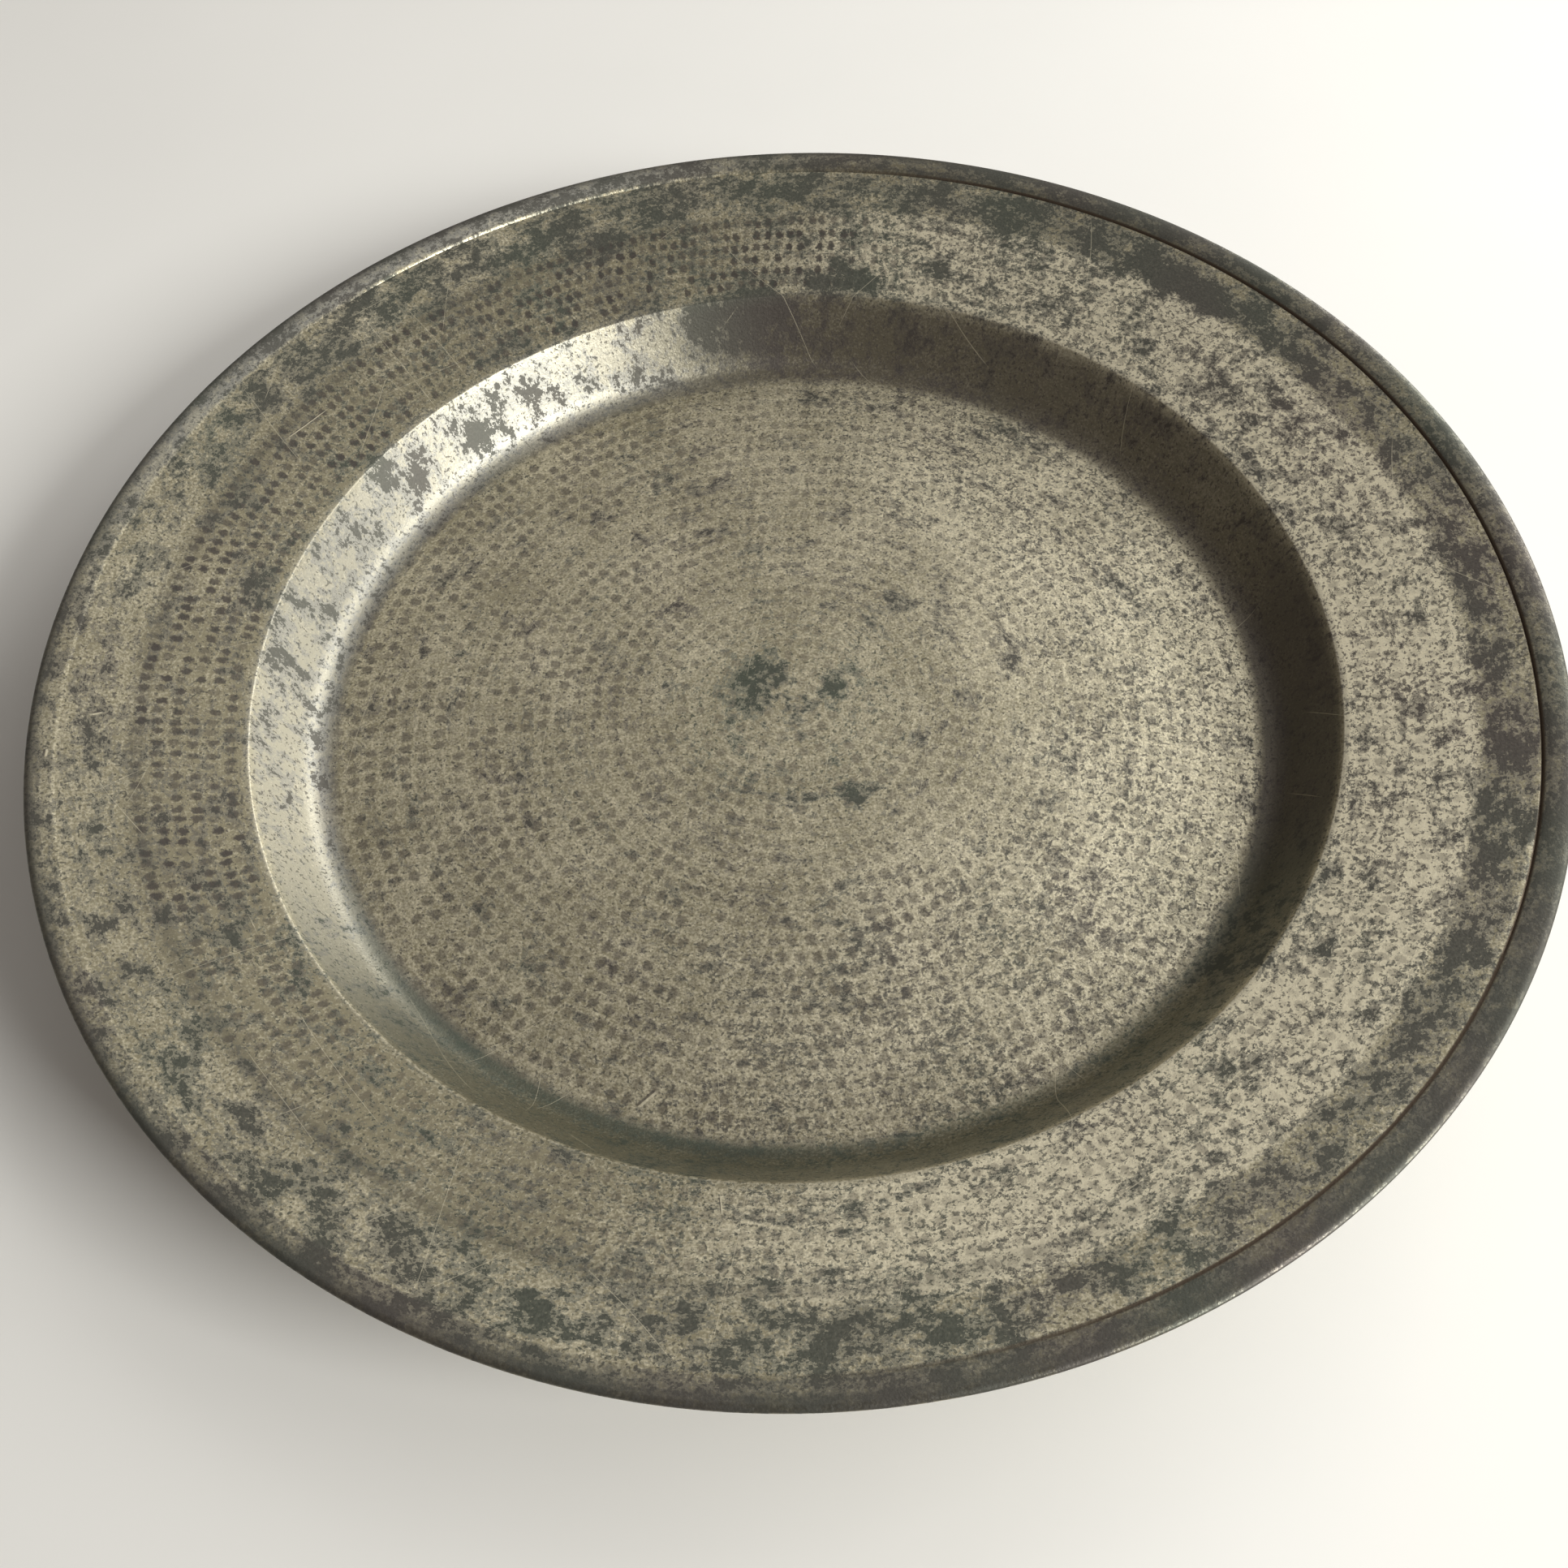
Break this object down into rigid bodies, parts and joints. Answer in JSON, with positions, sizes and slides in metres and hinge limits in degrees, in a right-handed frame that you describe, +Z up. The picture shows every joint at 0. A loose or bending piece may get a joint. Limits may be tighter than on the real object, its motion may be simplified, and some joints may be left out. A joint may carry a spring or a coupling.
{
  "type": "paten plate",
  "caption": "Broad-rimmed round metal plate with a shallow sloping-walled well and a reeded edge, for holding bread or offerings.",
  "frame": {"origin": "centre of the flat base under the well, at the level it stands on", "axes": "+Z up along the plate's axis; +X and +Y are level and interchangeable"},
  "size_m": [0.42, 0.42, 0.0425],
  "materials": {
    "pewter": "dull hammered pewter with a dark, speckled, worn patina"
  },
  "bodies": {
    "root": {"plate_body": "pewter"}
  },
  "joints": []
}
